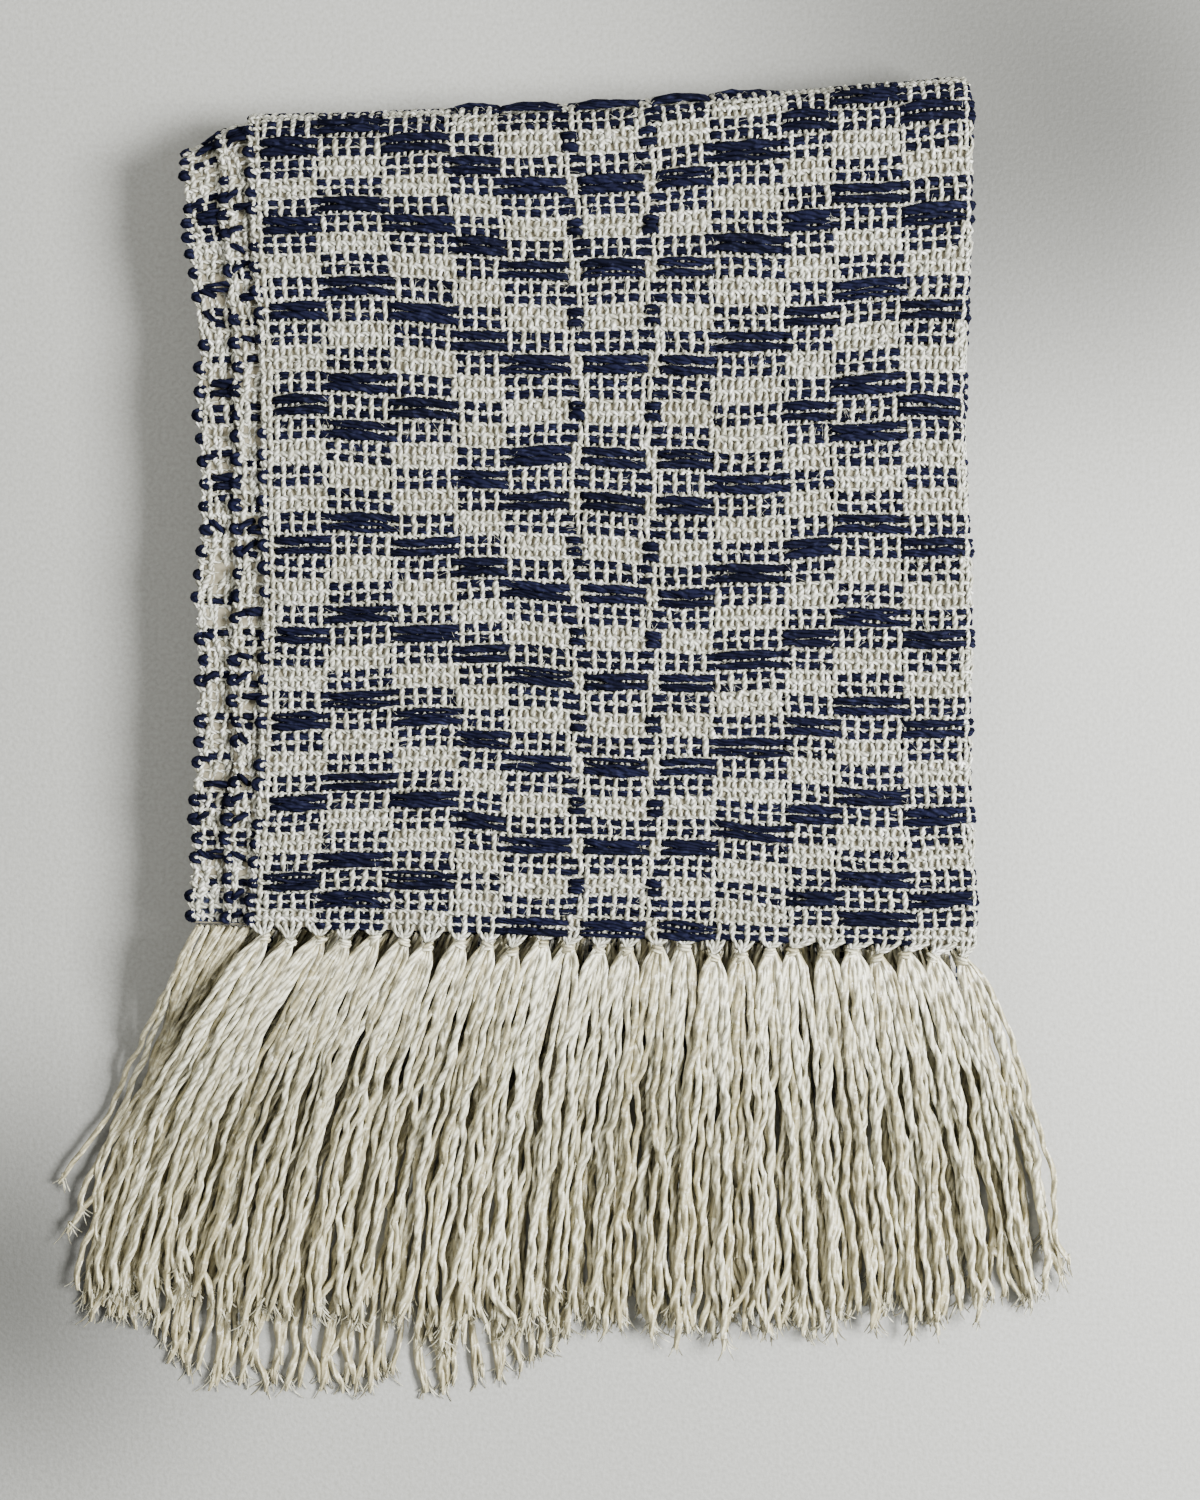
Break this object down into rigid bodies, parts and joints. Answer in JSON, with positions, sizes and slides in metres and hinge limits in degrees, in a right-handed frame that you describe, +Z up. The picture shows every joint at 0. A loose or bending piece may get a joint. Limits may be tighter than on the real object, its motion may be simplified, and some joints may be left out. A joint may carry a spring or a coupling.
{
  "type": "folded ruana",
  "caption": "Handwoven cream and navy overshot ruana, folded small and laid flat, with knotted cream fringe spread to the front.",
  "frame": {"origin": "on the flat underside where the folded cloth rests, under the middle of the top face", "axes": "+Z up from the resting surface, +Y towards the rear fold, away from the fringe, +X towards the folded side of the top face"},
  "size_m": [0.3681, 0.488, 0.0423],
  "materials": {
    "ground_weave": "matt handwoven cream wool and cotton",
    "pattern_weft": "matt navy wool, soft and lightly twisted",
    "fringe_yarn": "plied cream yarn with fuzzy ends"
  },
  "bodies": {
    "root": {"top_width_face": "ground_weave", "top_width_selvedge": "ground_weave", "second_width_selvedge": "ground_weave", "hidden_layers": "ground_weave", "upper_fringe": "fringe_yarn", "lower_fringe": "fringe_yarn"}
  },
  "joints": []
}
